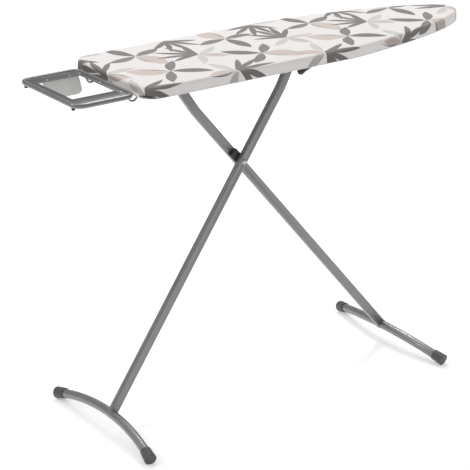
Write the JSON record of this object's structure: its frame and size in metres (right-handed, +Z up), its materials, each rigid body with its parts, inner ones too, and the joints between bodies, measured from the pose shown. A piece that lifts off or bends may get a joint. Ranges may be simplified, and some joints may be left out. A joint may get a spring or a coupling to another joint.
{
  "type": "ironing board",
  "caption": "Folding ironing board with a padded fabric cover, a tubular iron rest and crossed legs that fold by a sliding axle and a squeeze lever.",
  "frame": {"origin": "on the floor, under the middle of the overall length and width", "axes": "+X along the board to its nose, with the iron rest at -X; +Y to the board's left side, with the lever on the right; +Z up"},
  "size_m": [1.272, 0.4648, 0.945],
  "materials": {
    "cover_fabric": "printed cotton, matt",
    "felt": "needled felt, matt",
    "cord": "braided cord",
    "leg_paint": "satin metallic grey powder coat",
    "frame_paint": "satin grey powder coat",
    "rest_paint": "satin metallic grey powder coat",
    "tray_paint": "satin dark grey powder coat",
    "plate_paint": "satin light grey powder coat",
    "plated_steel": "zinc plated",
    "foot_plastic": "moulded, fine texture",
    "black_plastic": "moulded, satin",
    "rubber": "moulded"
  },
  "bodies": {
    "board": {"cover": "cover_fabric", "felt_pad": "felt", "mesh_panel": "frame_paint", "rim_frame": "frame_paint", "cross_rib_end": "frame_paint", "cross_rib_pivot": "frame_paint", "cross_rib_mid": "frame_paint", "cross_rib_nose": "frame_paint", "slide_rail_left": "frame_paint", "slide_rail_right": "frame_paint", "pivot_bracket_left": "frame_paint", "pivot_bracket_right": "frame_paint", "rear_pivot_rod": "plated_steel", "pivot_rod_caps": "plated_steel", "frame_rivets": "plated_steel", "drawcord": "cord", "cord_toggle": "black_plastic", "rest_frame": "rest_paint", "rest_tray": "tray_paint", "rest_plate": "plate_paint", "rest_arm_left": "rest_paint", "rest_arm_right": "rest_paint", "rest_rivets": "plated_steel", "rest_buffers": "rubber", "lever_bracket": "frame_paint", "lever_spring": "plated_steel"},
    "lever": {"lever_rod": "plated_steel", "lever_arm": "plated_steel", "lever_grip": "black_plastic", "lever_catch": "plated_steel"},
    "rear_leg": {"rear_leg_tube": "leg_paint", "rear_top_tube": "leg_paint", "rear_foot_bar": "leg_paint", "rear_foot_cap_left": "foot_plastic", "rear_foot_cap_right": "foot_plastic", "pivot_spacer": "black_plastic", "pivot_bolt": "plated_steel", "pivot_nut": "plated_steel"},
    "front_leg": {"front_leg_tube": "leg_paint", "front_top_tube": "leg_paint", "slide_axle": "plated_steel", "slide_bush_left": "black_plastic", "slide_bush_right": "black_plastic", "axle_caps": "plated_steel", "front_foot_bar": "leg_paint", "front_foot_cap_left": "foot_plastic", "front_foot_cap_right": "foot_plastic"}
  },
  "joints": [
    {"name": "leg_fold", "type": "hinge", "parent": "board", "child": "rear_leg", "pos_m": [-0.26, 0, 0.907], "axis": [0, -1, 0], "range_deg": [0, 50]},
    {"name": "leg_cross", "type": "hinge", "parent": "rear_leg", "child": "front_leg", "pos_m": [-0.08, 0, 0.646], "axis": [0, -1, 0], "range_deg": [-100, 0]},
    {"name": "lever_squeeze", "type": "hinge", "parent": "board", "child": "lever", "pos_m": [0.08, -0.116, 0.914], "axis": [0, 1, 0], "range_deg": [0, 9], "stiffness_Nm_per_rad": 0.3, "springref_deg": -17.19}
  ],
  "couplings": [
    {"joint": "leg_cross", "follows": "leg_fold", "ratio": -2}
  ]
}
